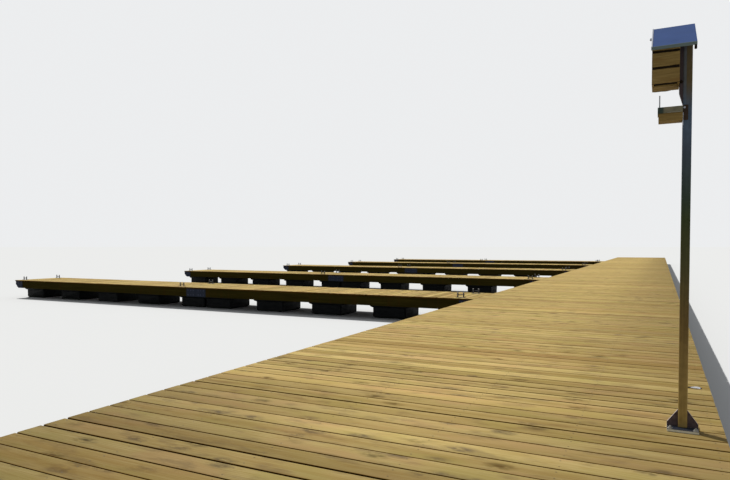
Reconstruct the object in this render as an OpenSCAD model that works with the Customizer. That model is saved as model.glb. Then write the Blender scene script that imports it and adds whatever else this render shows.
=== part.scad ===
// Floating timber jetty: a boarded walkway on black floats with mooring fingers down one side,
// made as a half-scale model. Every size is the real one halved, in millimetres.
// The walkway runs along Y, away from the shore end. The fingers reach out along -X.
// Z is 0 at the waterline, where the floats end. The origin is the middle of the footprint.

/* [Modules] */
// Length of one walkway or finger module
module_l = 3375; // [2400:5:3600]
// Number of modules in the walkway
module_n = 8; // [4:1:8]
// Number of modules in one finger
finger_module_n = 2; // [1:1:3]
// Number of fingers
finger_n = 5; // [1:1:5]
// Number of walkway modules on the shore side of the first finger
first_finger_joint = 2; // [1:1:3]
// Open joint between the ends of two modules
joint_gap = 2.5; // [1:0.5:6]

/* [Deck] */
// Width of the walkway deck
walkway_w = 1700; // [1200:10:2400]
// Width of a finger deck
finger_w = 720; // [560:5:1100]
// Thickness of the deck boards
deck_t = 15; // [10:0.5:25]
// Overhang of the boards past the edge beams
deck_overhang = 12; // [6:1:30]
// Height of the deck top above the water
deck_top = 255; // [220:1:320]
// Gap between a finger deck and the walkway deck
root_gap = 4; // [2:0.5:10]

/* [Timber frames] */
// Depth of the edge and end beams
beam_d = 95; // [75:1:120]
// Thickness of the edge and end beams
beam_t = 35; // [20:1:50]
// Width of the inner joists
joist_w = 25; // [15:1:40]
// Depth of the cross bearers that sit on the floats
bearer_d = 45; // [25:1:60]
// Width of the cross bearers
bearer_w = 30; // [20:1:45]
// Place of the cross bearers on a float, as a part of its length from each end
bearer_place = 0.2; // [0.1:0.05:0.4]
// Inner joists under the walkway deck
walkway_joist_n = 4; // [2:1:6]
// Inner joists under a finger deck
finger_joist_n = 1; // [1:1:2]
// Length of the slanting cut under a finger tip
tip_cut_l = 55; // [20:1:90]
// Height of the slanting cut under a finger tip
tip_cut_h = 50; // [20:1:70]

/* [Floats] */
// Length of a float along its module
float_l = 370; // [250:5:480]
// Width of a float across its module
float_w = 380; // [250:5:480]
// Floats along one module
float_n = 5; // [3:1:5]
// Distance of the end floats from the module end
float_inset = 12; // [6:1:40]
// Width of the shoulder round the top of a float
float_shoulder = 25; // [5:1:50]
// Height of that shoulder where it meets the float
float_shoulder_h = 36; // [15:1:60]
// Height of that shoulder at its outer edge
float_shoulder_edge = 20; // [8:1:40]
// Chamfer on the upright edges of a float
float_chamfer = 12; // [10:1:30]
// Slope of the float sides, taken off each side at the waterline
float_draft = 4; // [2:1:5]
// Chamfer along the lower edge of a float
float_foot = 14; // [6:1:30]
// Distance of the walkway float rows from the walkway edge
float_row_edge = 75; // [50:5:150]

/* [Corner plates] */
// Thickness of the folded corner plates
plate_t = 3; // [2:0.5:5]
// Length of a corner plate along the edge beam
plate_l = 145; // [90:5:200]
// Length of a corner plate across the end beam
plate_end_l = 110; // [80:5:160]
// Radius of the coupling bolt holes
bolt_r = 5.5; // [3:0.5:8]
// Distance of the coupling bolts from the outer face of the edge beam
bolt_side = 62; // [45:1:80]
// Height between the two coupling bolts of a corner
bolt_rise = 50; // [30:1:60]
// Radius of the rubber buffers between modules
buffer_r = 17; // [10:1:22]

/* [Finger roots] */
// Width of the bracket between a finger end and the walkway beam
root_bracket_w = 60; // [40:5:90]
// Height of that bracket
root_bracket_h = 70; // [50:5:90]
// Distance of the bracket from the outer face of the finger edge beam
root_bracket_side = 45; // [40:5:80]

/* [Mooring bitts] */
// Distance of the bitts at a finger's root from the end there
bitt_root = 158; // [120:1:300]
// Distance of the bitts past each joint of a finger from that joint
bitt_mid = 300; // [120:5:500]
// Distance of the bitts at a finger's tip from the end there
bitt_tip = 80; // [70:5:300]
// Distance of a bitt from the deck edge
bitt_edge = 100; // [25:1:120]
// Length of the foot plate
bitt_foot_l = 90; // [75:1:130]
// Width of the foot plate
bitt_foot_w = 36; // [24:1:50]
// Thickness of the foot plate
bitt_foot_t = 3; // [2:0.5:5]
// Distance between the two upright pins
bitt_pitch = 57; // [40:1:70]
// Radius of an upright pin
bitt_pin_r = 6; // [3:0.5:8]
// Height of the pins above the deck
bitt_h = 50; // [35:1:70]
// Radius of the cross bar
bitt_bar_r = 4; // [2:0.5:5]
// Height of the cross bar above the deck
bitt_bar_z = 26; // [15:1:35]
// Length of the cross bar past each pin
bitt_bar_end = 8; // [4:1:14]

/* [Post] */
// Distance of the post from the shore end
post_from_shore = 2850; // [800:5:3300]
// Distance of the post from the right deck edge
post_edge = 101; // [80:1:300]
// Width of the square post
post_w = 22; // [18:1:40]
// Height of the post above the deck
post_h = 1052; // [700:1:1400]
// Side of the base plate
base_w = 76; // [60:1:110]
// Thickness of the base plate
base_t = 7; // [3:0.5:10]
// Height of the two gussets
gusset_h = 47; // [30:1:80]
// Thickness of the gussets
gusset_t = 5; // [3:0.5:8]
// Height of a gusset at its outer edge
gusset_toe = 10; // [3:0.5:15]
// Height of the side pin above the deck
stub_z = 116; // [80:1:300]
// Length of the side pin
stub_l = 34; // [20:1:60]
// Radius of the side pin
stub_r = 4; // [2:0.5:8]

/* [Boarded box] */
// Width of the boarded box
box_w = 66; // [50:1:110]
// Depth of the boarded box
box_depth = 96; // [60:1:140]
// Height of the front of the boarded box
box_h = 101; // [90:1:180]
// Height of one board on the face of the box
box_board = 42.4; // [30:0.1:60]
// Groove between those boards
box_groove = 4; // [2:0.5:6]
// Depth of that groove
box_groove_d = 4; // [2:0.5:6]
// Thickness of the mounting plate between box and post
mount_t = 9; // [5:0.5:14]
// Length of the mounting plate below the box
mount_tail = 51; // [40:1:56]
// Height of the tapered end of the mounting plate
mount_taper = 32; // [10:1:38]

/* [Sheet roof] */
// Overhang of the roof past the post
roof_side = 8; // [5:1:30]
// Space between the left side of the box and the folded side of the roof
roof_left = 0; // [0:0.5:20]
// Depth of the roof, measured level
roof_depth = 160; // [120:1:220]
// Rise of the roof over its depth
roof_rise = 98; // [40:1:120]
// Thickness of the roof sheet
roof_t = 2; // [1:0.5:4]
// Height of the folded edge of the roof
roof_lip = 6; // [4:1:14]
// Distance of the low edge in front of the box
roof_front = 12; // [5:1:25]

/* [Lower box] */
// Width of the lower box
lower_w = 60; // [40:1:90]
// Depth of the lower box
lower_depth = 50; // [30:1:80]
// Height of the wooden part of the lower box
lower_h = 20; // [12:1:60]
// Height of its metal lid
lid_h = 16; // [8:1:30]
// Lip of the lid past the wooden part
lid_lip = 2; // [1:0.5:4]
// Height of the lid top below the boarded box
lower_drop = 58; // [57:1:80]
// Height of the thin rod on the lid
rod_h = 37; // [15:1:42]
// Radius of the thin rod
rod_r = 1.5; // [1:0.25:3]

/* [Hidden] */
$fn = 32;
// How far a cutting shape runs past the face that it cuts
cut = 1;
walkway_l = module_n * module_l;
finger_l = finger_module_n * module_l;
total_w = finger_l - joint_gap / 2 + root_gap + walkway_w;
walkway_right = total_w / 2;
walkway_x = walkway_right - walkway_w / 2;
walkway_left = walkway_right - walkway_w;
finger_root_x = walkway_left - root_gap;
shore_y = -walkway_l / 2;
deck_z = deck_top - deck_t;
beam_z = deck_z - beam_d;
end_inset = joint_gap / 2 + plate_t;
float_pitch = (module_l - 2 * float_inset - float_l) / (float_n - 1);
bolt_z = beam_z + beam_d / 2;
row_y = walkway_w / 2 - deck_overhang - float_row_edge - float_w / 2;

post_x = walkway_right - post_edge;
post_y = shore_y + post_from_shore;
post_top = deck_top + post_h;
box_right = post_x - post_w / 2 - mount_t;
box_left = box_right - box_w;
box_front = post_y - box_depth / 2;
roof_low_y = box_front - roof_front;
roof_slope = roof_rise / roof_depth;
box_top = post_top - (post_y - post_w / 2 - box_front) * roof_slope;
box_bottom = box_top - box_h;
lid_top = box_bottom - lower_drop;
lower_right = post_x - post_w / 2;
lower_left = lower_right - lower_w;

timber = "#6b5320";
galvanised = "#8f98a6";

// A module lies along +X from 0 to module_l in its own frame, with its middle on Y = 0.

// Puts a child at walkway module k, counted from the shore
module at_walkway(k) {
  translate([walkway_x, shore_y + k * module_l, 0])
    rotate([0, 0, 90])
      children();
}

// Puts a child at module m of finger k, with its own +X running out to the finger tip
module at_finger(k, m) {
  translate([finger_root_x - m * module_l, finger_y(k), 0])
    rotate([0, 0, 180])
      children();
}

function finger_y(k) = shore_y + (first_finger_joint + k) * module_l;

// Repeats a child at both ends of a module
module both_ends() {
  children();
  translate([module_l, 0, 0])
    mirror([1, 0, 0])
      children();
}

// Repeats a child on both long sides of a module
module both_sides() {
  children();
  mirror([0, 1, 0])
    children();
}

// The boards of one module, as one slab
module deck_slab(w) {
  translate([joint_gap / 2, -w / 2, deck_z])
    cube([module_l - joint_gap, w, deck_t]);
}

// Bores for the coupling bolts at the end of a module that nothing is bolted to
module coupling_bores(w) {
  both_sides()
    for (dz = [-bolt_rise / 2, bolt_rise / 2])
      translate([joint_gap / 2 - cut, w / 2 - deck_overhang - bolt_side, bolt_z + dz])
        rotate([0, 90, 0])
          cylinder(h = plate_t + beam_t + 2 * cut, r = bolt_r);
}

// The wedge that is cut from the lower corner of a finger tip
module tip_wedge(w) {
  translate([module_l - joint_gap / 2, w / 2, beam_z])
    rotate([90, 0, 0])
      linear_extrude(height = w)
        polygon([[-tip_cut_l, -cut], [cut, -cut], [cut, tip_cut_h], [0, tip_cut_h], [-tip_cut_l, 0]]);
}

// Clear width between the two edge beams of a module
function inner_w(w) = w - 2 * deck_overhang - 2 * beam_t;

module edge_beams(w) {
  both_sides()
    translate([end_inset, inner_w(w) / 2, beam_z])
      cube([module_l - 2 * end_inset, beam_t, beam_d]);
}

// The end beams between the edge beams
module end_beams(w) {
  both_ends()
    translate([end_inset, -inner_w(w) / 2, beam_z])
      cube([beam_t, inner_w(w), beam_d]);
}

// The inner joists between the end beams, lying on the cross bearers
module joists(w, joist_n) {
  bay = (inner_w(w) - joist_n * joist_w) / (joist_n + 1);
  start_x = end_inset + beam_t;
  for (j = [1 : joist_n])
    translate([start_x, -inner_w(w) / 2 + j * bay + (j - 1) * joist_w, beam_z + bearer_d])
      cube([module_l - 2 * start_x, joist_w, beam_d - bearer_d]);
}

// Two cross bearers over each float, between the edge beams
module bearers(w) {
  for (i = [0 : float_n - 1], side = [bearer_place, 1 - bearer_place])
    translate([float_inset + i * float_pitch + side * float_l - bearer_w / 2, -inner_w(w) / 2, beam_z])
      cube([bearer_w, inner_w(w), bearer_d]);
}

// A moulded float: a body that draws in towards the water, under a wider shoulder
module float_unit() {
  neck_z = beam_z - float_shoulder_h;
  rim_z = beam_z - float_shoulder_edge;
  flank = [[float_draft + float_foot, 0], [float_draft, float_foot], [0, neck_z], [0, beam_z]];
  rim = [[float_shoulder, neck_z], [0, rim_z], [0, beam_z]];
  moulded_block(float_l, float_w, flank);
  moulded_block(float_l + 2 * float_shoulder, float_w + 2 * float_shoulder, rim);
}

// A block with chamfered uprights, whose side goes up through points of [inset, height]
module moulded_block(l, w, side) {
  intersection() {
    linear_extrude(height = beam_z)
      chamfered_plan(l / 2, w / 2, float_chamfer);
    rotate([90, 0, 0])
      linear_extrude(height = w + 2 * cut, center = true)
        block_section(l / 2, side);
    rotate([90, 0, 90])
      linear_extrude(height = l + 2 * cut, center = true)
        block_section(w / 2, side);
  }
}

// A rectangle, x and y out from its middle, with its corners cut off by c
module chamfered_plan(x, y, c) {
  polygon([
    [-x + c, -y], [x - c, -y], [x, -y + c], [x, y - c],
    [x - c, y], [-x + c, y], [-x, y - c], [-x, -y + c]
  ]);
}

// Section of such a block, half_w wide on each side of its middle
module block_section(half_w, side) {
  n = len(side);
  polygon(concat(
    [for (p = side) [half_w - p[0], p[1]]],
    [for (i = [n - 1 : -1 : 0]) [side[i][0] - half_w, side[i][1]]]
  ));
}

// The row of floats under one module, at a distance y from its middle line, cut off at the module ends
module float_row(y) {
  intersection() {
    for (i = [0 : float_n - 1])
      translate([float_inset + float_l / 2 + i * float_pitch, y, 0])
        float_unit();
    translate([joint_gap / 2, y - float_w, 0])
      cube([module_l - joint_gap, 2 * float_w, beam_z]);
  }
}

// One corner plate folded round the end of an edge beam, with its coupling bolt holes
module corner_plate(w) {
  side_y = w / 2 - deck_overhang;
  difference() {
    union() {
      translate([joint_gap / 2, side_y, beam_z])
        cube([plate_l, plate_t, beam_d]);
      translate([joint_gap / 2, side_y - plate_end_l, beam_z])
        cube([plate_t, plate_end_l + plate_t, beam_d]);
    }
    coupling_bores(w);
  }
}

// The four corner plates of one module
module corner_plates(w) {
  both_ends()
    both_sides()
      corner_plate(w);
}

// The rubber buffers on the coupling bolts between this module and the one before it
module buffers(w) {
  both_sides()
    for (dz = [-bolt_rise / 2, bolt_rise / 2])
      translate([-joint_gap / 2, w / 2 - deck_overhang - bolt_side, bolt_z + dz])
        rotate([0, 90, 0])
          cylinder(h = joint_gap, r = buffer_r);
}

module walkway_deck(k) {
  color("#c9a04c")
    at_walkway(k)
      deck_slab(walkway_w);
}

module walkway_edge_beams() {
  color(timber)
    for (k = [0 : module_n - 1])
      at_walkway(k)
        edge_beams(walkway_w);
}

// The outermost two are bored for the bolts that hold the jetty to its neighbours
module walkway_end_beams() {
  color(timber)
    for (k = [0 : module_n - 1])
      at_walkway(k)
        difference() {
          end_beams(walkway_w);
          if (k == 0)
            coupling_bores(walkway_w);
          if (k == module_n - 1)
            translate([module_l, 0, 0])
              mirror([1, 0, 0])
                coupling_bores(walkway_w);
        }
}

module walkway_joists() {
  color(timber)
    for (k = [0 : module_n - 1])
      at_walkway(k)
        joists(walkway_w, walkway_joist_n);
}

module walkway_bearers() {
  color(timber)
    for (k = [0 : module_n - 1])
      at_walkway(k)
        bearers(walkway_w);
}

module walkway_floats() {
  color("#1b1c1e")
    for (k = [0 : module_n - 1], y = [-row_y, row_y])
      at_walkway(k)
        float_row(y);
}

module walkway_corner_plates() {
  color(galvanised)
    for (k = [0 : module_n - 1])
      at_walkway(k)
        corner_plates(walkway_w);
}

module walkway_buffers() {
  color("#2a2a2a")
    for (k = [1 : module_n - 1])
      at_walkway(k)
        buffers(walkway_w);
}

module finger_deck(k) {
  color("#c9a04c")
    for (m = [0 : finger_module_n - 1])
      at_finger(k, m)
        deck_slab(finger_w);
}

// Repeats a child at every finger module, cut away underneath at the finger tips
module finger_modules() {
  for (k = [0 : finger_n - 1], m = [0 : finger_module_n - 1])
    at_finger(k, m)
      difference() {
        children();
        if (m == finger_module_n - 1)
          tip_wedge(finger_w);
      }
}

module finger_edge_beams() {
  color(timber)
    finger_modules()
      edge_beams(finger_w);
}

module finger_end_beams() {
  color(timber)
    finger_modules()
      end_beams(finger_w);
}

module finger_joists() {
  color(timber)
    finger_modules()
      joists(finger_w, finger_joist_n);
}

module finger_bearers() {
  color(timber)
    finger_modules()
      bearers(finger_w);
}

module finger_floats() {
  color("#1b1c1e")
    for (k = [0 : finger_n - 1], m = [0 : finger_module_n - 1])
      at_finger(k, m)
        float_row(0);
}

module finger_corner_plates() {
  color(galvanised)
    finger_modules()
      corner_plates(finger_w);
}

module finger_buffers() {
  color("#2a2a2a")
    for (k = [0 : finger_n - 1], m = [1 : 1 : finger_module_n - 1])
      at_finger(k, m)
        buffers(finger_w);
}

// Brackets that fill the space between the walkway edge beam and the end of each finger
module finger_root_brackets() {
  near_x = -root_gap - deck_overhang;
  color(galvanised)
    for (k = [0 : finger_n - 1])
      at_finger(k, 0)
        both_sides()
          translate([
            near_x, finger_w / 2 - deck_overhang - root_bracket_side - root_bracket_w,
            bolt_z - root_bracket_h / 2
          ])
            cube([joint_gap / 2 - near_x, root_bracket_w, root_bracket_h]);
}

// An H-shaped bitt on its foot plate, with its length along X
module bitt() {
  translate([-bitt_foot_l / 2, -bitt_foot_w / 2, 0])
    cube([bitt_foot_l, bitt_foot_w, bitt_foot_t]);
  for (side = [-1, 1])
    translate([side * bitt_pitch / 2, 0, 0])
      cylinder(h = bitt_h, r = bitt_pin_r);
  translate([-bitt_pitch / 2 - bitt_bar_end, 0, bitt_bar_z])
    rotate([0, 90, 0])
      cylinder(h = bitt_pitch + 2 * bitt_bar_end, r = bitt_bar_r);
}

// One bitt near each edge of a finger, at a distance x from the module's end
module bitt_pair(x) {
  both_sides()
    translate([x, finger_w / 2 - bitt_edge, deck_top])
      bitt();
}

module mooring_bitts() {
  color("#4c4f55")
    for (k = [0 : finger_n - 1]) {
      for (m = [0 : finger_module_n - 1])
        at_finger(k, m)
          bitt_pair(m == 0 ? bitt_root : bitt_mid);
      at_finger(k, finger_module_n - 1)
        bitt_pair(module_l - bitt_tip);
    }
}

module post() {
  color("#7d7468")
    translate([post_x - post_w / 2, post_y - post_w / 2, deck_top + base_t])
      cube([post_w, post_w, post_h - base_t]);
}

// Base plate with a gusset on each side of the post
module post_base() {
  reach = (base_w - post_w) / 2;
  color(galvanised)
    translate([post_x, post_y, deck_top]) {
      translate([-base_w / 2, -base_w / 2, 0])
        cube([base_w, base_w, base_t]);
      for (side = [0, 1])
        mirror([side, 0, 0])
          translate([post_w / 2, gusset_t / 2, base_t])
            rotate([90, 0, 0])
              linear_extrude(height = gusset_t)
                polygon([[0, 0], [reach, 0], [reach, gusset_toe], [0, gusset_h]]);
    }
}

module post_side_pin() {
  color("#c3c8ce")
    translate([post_x + post_w / 2, post_y, deck_top + stub_z])
      rotate([0, 90, 0])
        cylinder(h = stub_l, r = stub_r);
}

// Box faced with level boards, grooved where they meet, with its top cut to the slope of the roof
module boarded_box() {
  color("#8d6a2c")
    difference() {
      translate([box_left, box_front, box_bottom])
        rotate([90, 0, 90])
          linear_extrude(height = box_w)
            polygon([[0, 0], [box_depth, 0], [box_depth, box_h + box_depth * roof_slope], [0, box_h]]);
      for (z = [box_board : box_board : box_h - box_groove], side = [0, 1])
        translate([
          box_left - cut, box_front + side * (box_depth - box_groove_d) - (1 - side) * cut,
          box_bottom + z - box_groove / 2
        ])
          cube([box_w + 2 * cut, box_groove_d + cut, box_groove]);
    }
}

// Plate on the side of the post that carries the box, tapered to its end below the box
module box_mounting_plate() {
  end_z = box_bottom - mount_tail;
  color("#4a3a35")
    translate([box_right, post_y + post_w / 2, 0])
      rotate([90, 0, 0])
        linear_extrude(height = post_w)
          polygon([[0, end_z + mount_taper], [mount_t, end_z], [mount_t, post_top], [0, post_top]]);
}

// Sloping roof of folded sheet, low at the front
module sheet_roof() {
  left = box_left - roof_left - roof_t;
  width = post_x + post_w / 2 + roof_side - left;
  color("#8b93a8")
    translate([left, roof_low_y, box_top - roof_front * roof_slope])
      rotate([90, 0, 90]) {
        linear_extrude(height = width)
          roof_sheet_section();
        for (x = [0, width - roof_t])
          translate([0, 0, x])
            linear_extrude(height = roof_t)
              polygon([
                [0, -roof_lip], [roof_depth, roof_rise - roof_lip],
                [roof_depth, roof_rise + roof_t], [0, roof_t]
              ]);
      }
}

// Section of the roof sheet, with the low edge turned down
module roof_sheet_section() {
  polygon([
    [0, -roof_lip], [roof_t, -roof_lip], [roof_t, roof_t * roof_slope],
    [roof_depth, roof_rise], [roof_depth, roof_rise + roof_t], [0, roof_t]
  ]);
}

module lower_box() {
  color("#8d6a2c")
    translate([lower_left + lid_lip, post_y - lower_depth / 2, lid_top - lid_h - lower_h])
      cube([lower_w - lid_lip, lower_depth, lower_h]);
}

module lower_box_lid() {
  color("#9b9a90") {
    translate([lower_left, post_y - lower_depth / 2 - lid_lip, lid_top - lid_h])
      cube([lower_w, lower_depth + 2 * lid_lip, lid_h]);
    translate([lower_left + 3 * rod_r, post_y, lid_top])
      cylinder(h = rod_h, r = rod_r);
  }
}

walkway_deck(0);  // walkway_deck_1
walkway_deck(1);  // walkway_deck_2
walkway_deck(2);  // walkway_deck_3
walkway_deck(3);  // walkway_deck_4
walkway_deck(4);  // walkway_deck_5
walkway_deck(5);  // walkway_deck_6
walkway_deck(6);  // walkway_deck_7
walkway_deck(7);  // walkway_deck_8
walkway_edge_beams();
walkway_end_beams();
walkway_joists();
walkway_bearers();
walkway_floats();
walkway_corner_plates();
walkway_buffers();
finger_deck(0);  // finger_deck_1
finger_deck(1);  // finger_deck_2
finger_deck(2);  // finger_deck_3
finger_deck(3);  // finger_deck_4
finger_deck(4);  // finger_deck_5
finger_edge_beams();
finger_end_beams();
finger_joists();
finger_bearers();
finger_floats();
finger_corner_plates();
finger_buffers();
finger_root_brackets();
mooring_bitts();
post();
post_base();
post_side_pin();
boarded_box();
box_mounting_plate();
sheet_roof();
lower_box();
lower_box_lid();
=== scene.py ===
"""Looks of the half-scale floating jetty: boards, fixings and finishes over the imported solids.

Metres, Z up. The walkway runs along Y, the fingers reach out along -X, and Z = 0 is the waterline.
"""
import math
import random

import bpy
import numpy as np
from mathutils import Matrix, Vector


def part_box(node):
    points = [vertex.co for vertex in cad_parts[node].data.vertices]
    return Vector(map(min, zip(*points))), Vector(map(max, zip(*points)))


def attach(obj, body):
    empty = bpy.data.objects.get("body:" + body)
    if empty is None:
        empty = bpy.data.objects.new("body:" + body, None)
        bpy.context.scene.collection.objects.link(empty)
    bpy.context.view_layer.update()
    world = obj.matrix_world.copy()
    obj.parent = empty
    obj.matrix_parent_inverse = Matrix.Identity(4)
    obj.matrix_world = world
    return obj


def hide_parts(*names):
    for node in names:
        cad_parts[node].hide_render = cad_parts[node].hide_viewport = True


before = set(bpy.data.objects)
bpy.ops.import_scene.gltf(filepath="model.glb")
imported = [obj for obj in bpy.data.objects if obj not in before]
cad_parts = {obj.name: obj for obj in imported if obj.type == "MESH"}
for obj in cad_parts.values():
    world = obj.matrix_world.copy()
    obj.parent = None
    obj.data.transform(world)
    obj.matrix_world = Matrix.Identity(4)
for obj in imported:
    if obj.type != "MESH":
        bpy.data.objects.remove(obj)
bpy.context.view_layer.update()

# Driving sizes of the jetty, as in the part's source
MODULE_L = 3.375
MODULE_N = 8
FINGER_N = 5
FINGER_MODULES = 2
JOINT_GAP = 0.0025
BOARDS_PER_MODULE = 45
DECK_OVERHANG = 0.012
BEAM_T = 0.035
JOIST_W = 0.025
WALKWAY_JOISTS = 4
FINGER_JOISTS = 1
PLATE_T = 0.003
BOLT_SIDE = 0.062
BOLT_RISE = 0.050

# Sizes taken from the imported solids
WALKWAY_LO, WALKWAY_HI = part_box("walkway_deck_1")
FINGER_LO, FINGER_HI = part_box("finger_deck_1")
WALKWAY_W = WALKWAY_HI.x - WALKWAY_LO.x
FINGER_W = FINGER_HI.y - FINGER_LO.y
DECK_TOP = WALKWAY_HI.z
DECK_T = WALKWAY_HI.z - WALKWAY_LO.z
BEAM_LO, BEAM_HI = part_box("walkway_edge_beams")
# Middle of the beams, measured from the underside of the boards
BEAM_MIDDLE = (BEAM_LO.z + BEAM_HI.z) / 2 - WALKWAY_LO.z


# Meshes

class Batch:
    """Many small shapes gathered into one mesh, with attributes at its points."""

    def __init__(self):
        self.points, self.faces, self.count = [], [], 0
        self.attributes = {}

    def add(self, points, faces, **attributes):
        """Adds a shape, with one value for all its points or one for each, under every attribute."""
        points = np.asarray(points, float)
        self.points.append(points)
        self.faces += [[i + self.count for i in face] for face in faces]
        self.count += len(points)
        for name, value in attributes.items():
            value = np.asarray(value, float)
            if value.ndim == 0:
                value = np.full(len(points), float(value))
            self.attributes.setdefault(name, []).append(value)

    def place(self, shapes, matrix):
        """Adds shapes moved by a 4x4 matrix."""
        for points, faces in shapes:
            self.add(turned(points, matrix), faces)

    def build(self, name, material, replaces=(), sharp=35):
        """Makes one piece of it, smooth but for edges sharper than an angle in degrees."""
        mesh = bpy.data.meshes.new(name)
        mesh.from_pydata(np.concatenate(self.points).tolist(), [], self.faces)
        for key, parts in self.attributes.items():
            data = np.concatenate(parts)
            kind = "FLOAT" if data.ndim == 1 else "FLOAT_VECTOR"
            field = "value" if data.ndim == 1 else "vector"
            mesh.attributes.new(key, kind, "POINT").data.foreach_set(field, data.ravel())
        mesh.polygons.foreach_set("use_smooth", [True] * len(mesh.polygons))
        mesh.set_sharp_from_angle(angle=math.radians(sharp))
        mesh.materials.append(material)
        piece = bpy.data.objects.new(name, mesh)
        bpy.context.scene.collection.objects.link(piece)
        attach(piece, "root")
        if replaces:
            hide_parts(*replaces)


def turned(points, matrix):
    """The points moved by a 4x4 matrix."""
    m = np.array(matrix)
    return np.asarray(points) @ m[:3, :3].T + m[:3, 3]


def lofted(rings):
    """Points and faces of a closed skin over rings with equal numbers of points."""
    n = len(rings[0])
    faces = []
    for r in range(len(rings) - 1):
        for i in range(n):
            j = (i + 1) % n
            faces.append([r * n + i, r * n + j, (r + 1) * n + j, (r + 1) * n + i])
    last = (len(rings) - 1) * n
    faces.append(list(range(n))[::-1])
    faces.append(list(range(last, last + n)))
    return np.concatenate([np.asarray(ring, float) for ring in rings]), faces


def circle(radius, z, sides):
    """One level ring of points."""
    angles = [2 * math.pi * i / sides for i in range(sides)]
    return [(radius * math.cos(a), radius * math.sin(a), z) for a in angles]


def turned_profile(profile, sides):
    """A solid turned about Z from (radius, z) pairs."""
    return lofted([circle(r, z, sides) for r, z in profile])


ROUND_SIDES, SMALL_SIDES, HEX_SIDES = 20, 12, 6
WASHER_T = 0.0014


def hex_bolt(radius, height, washer=0.0, shank=0.0):
    """A bolt head on Z = 0 with a chamfered top, and a washer or a stub of thread where asked."""
    base = WASHER_T if washer else 0.0
    shapes = []
    if washer:
        disc = [(washer, 0), (washer, base * 0.8), (washer * 0.94, base)]
        shapes.append(turned_profile(disc, ROUND_SIDES))
    head = [(radius, base), (radius, base + height * 0.8), (radius * 0.84, base + height)]
    shapes.append(turned_profile(head, HEX_SIDES))
    if shank:
        top = base + height + shank
        stub = [(radius * 0.5, base + height), (radius * 0.5, top - 0.0006), (radius * 0.4, top)]
        shapes.append(turned_profile(stub, SMALL_SIDES))
    return shapes


def slab(outline, x0, x1, bevel):
    """A plate across X with a convex (y, z) outline, its rims broken by a bevel."""
    outline = np.asarray(outline, float)
    out = outline - outline.mean(0)
    inner = outline - out / np.linalg.norm(out, axis=1, keepdims=True) * bevel * 1.4
    rings = [(inner, x0), (outline, x0 + bevel), (outline, x1 - bevel), (inner, x1)]
    return lofted([[(x, y, z) for y, z in ring] for ring, x in rings])


def block(lo, hi, bevel):
    """A box with broken edges."""
    return slab([(lo[1], lo[2]), (hi[1], lo[2]), (hi[1], hi[2]), (lo[1], hi[2])], lo[0], hi[0], bevel)


def spanned(origin, spans, bevel):
    """A box with broken edges, from its spans along X, Y and Z as measured from an origin."""
    lo, hi = ([start + span[end] for start, span in zip(origin, spans)] for end in (0, 1))
    return block(lo, hi, bevel)


def facing(spot, away):
    """From a shape's own frame to a spot, with its +Z turned to a direction."""
    return Matrix.Translation(spot) @ Vector(away).to_track_quat("Z", "Y").to_matrix().to_4x4()


# Deck boards

BOARD_PITCH = MODULE_L / BOARDS_PER_MODULE
BOARD_EDGE = 0.0024
# Spans along a board, and how much boards may cup, sink, bow and fall short of the deck's edge
BOARD_SPANS = 8
BOARD_CUP = (-0.0003, 0.0002)
BOARD_SINK = 0.0004
BOARD_BOW = 0.0005
BOARD_SHORT = 0.0012
NARROW_GAP = (0.0026, 0.0042)
WIDE_GAP = (0.0054, 0.0086)
WIDE_SHARE = 0.34


def board_gaps(rng):
    """Widths of the gaps between the boards of one module; the outer two are the module's own ends."""
    inner = [rng.uniform(*(WIDE_GAP if rng.random() < WIDE_SHARE else NARROW_GAP))
             for _ in range(BOARDS_PER_MODULE - 1)]
    return [JOINT_GAP] + inner + [JOINT_GAP]


def board(length, width, rng):
    """One board along X with its underside on Z = 0: rounded top edges, a little bow and cup."""
    w, t, r = width / 2, DECK_T, BOARD_EDGE
    cup = rng.uniform(*BOARD_CUP)
    lift = rng.uniform(-BOARD_SINK, 0.0)
    bow, bend = rng.uniform(0.0, BOARD_BOW), rng.uniform(0, 2 * math.pi)
    section = [(-w, 0), (w, 0), (w, t - r), (w - 0.3 * r, t - 0.3 * r), (w - r, t), (0, t + cup),
               (-w + r, t), (-w + 0.3 * r, t - 0.3 * r), (-w, t - r)]
    ends = (-length / 2 + rng.uniform(0, BOARD_SHORT), length / 2 - rng.uniform(0, BOARD_SHORT))
    rings = []
    for i in range(BOARD_SPANS + 1):
        u = i / BOARD_SPANS
        x = ends[0] + (ends[1] - ends[0]) * u
        shift = bow * math.sin(bend + 5 * u)
        rings.append([(x, y + shift, z + (lift if z > 0 else 0)) for y, z in section])
    return lofted(rings)


def add_boards(batch, place, length, rng):
    """The boards of one module, lying across it; place takes the module's own frame to the row's."""
    gaps = board_gaps(rng)
    for i in range(BOARDS_PER_MODULE):
        lo = i * BOARD_PITCH + gaps[i] / 2
        hi = (i + 1) * BOARD_PITCH - gaps[i + 1] / 2
        points, faces = board(length, hi - lo, rng)
        grain = points + [rng.uniform(0, 60), rng.uniform(0, 20), rng.uniform(0, 5)]
        across = Matrix.Rotation(math.radians(90), 4, "Z")
        placed = turned(points, place @ Matrix.Translation(((lo + hi) / 2, 0, 0)) @ across)
        batch.add(placed, faces, grain=grain, tone=rng.gauss(0, 1), hue=rng.random(),
                  height=points[:, 2] / DECK_T)


def module_place(k):
    """From a walkway module's own frame, along +X, to the row's."""
    lo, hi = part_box("walkway_deck_%d" % (k + 1))
    start = Vector(((lo.x + hi.x) / 2, lo.y - JOINT_GAP / 2, lo.z))
    return Matrix.Translation(start) @ Matrix.Rotation(math.radians(90), 4, "Z")


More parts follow.
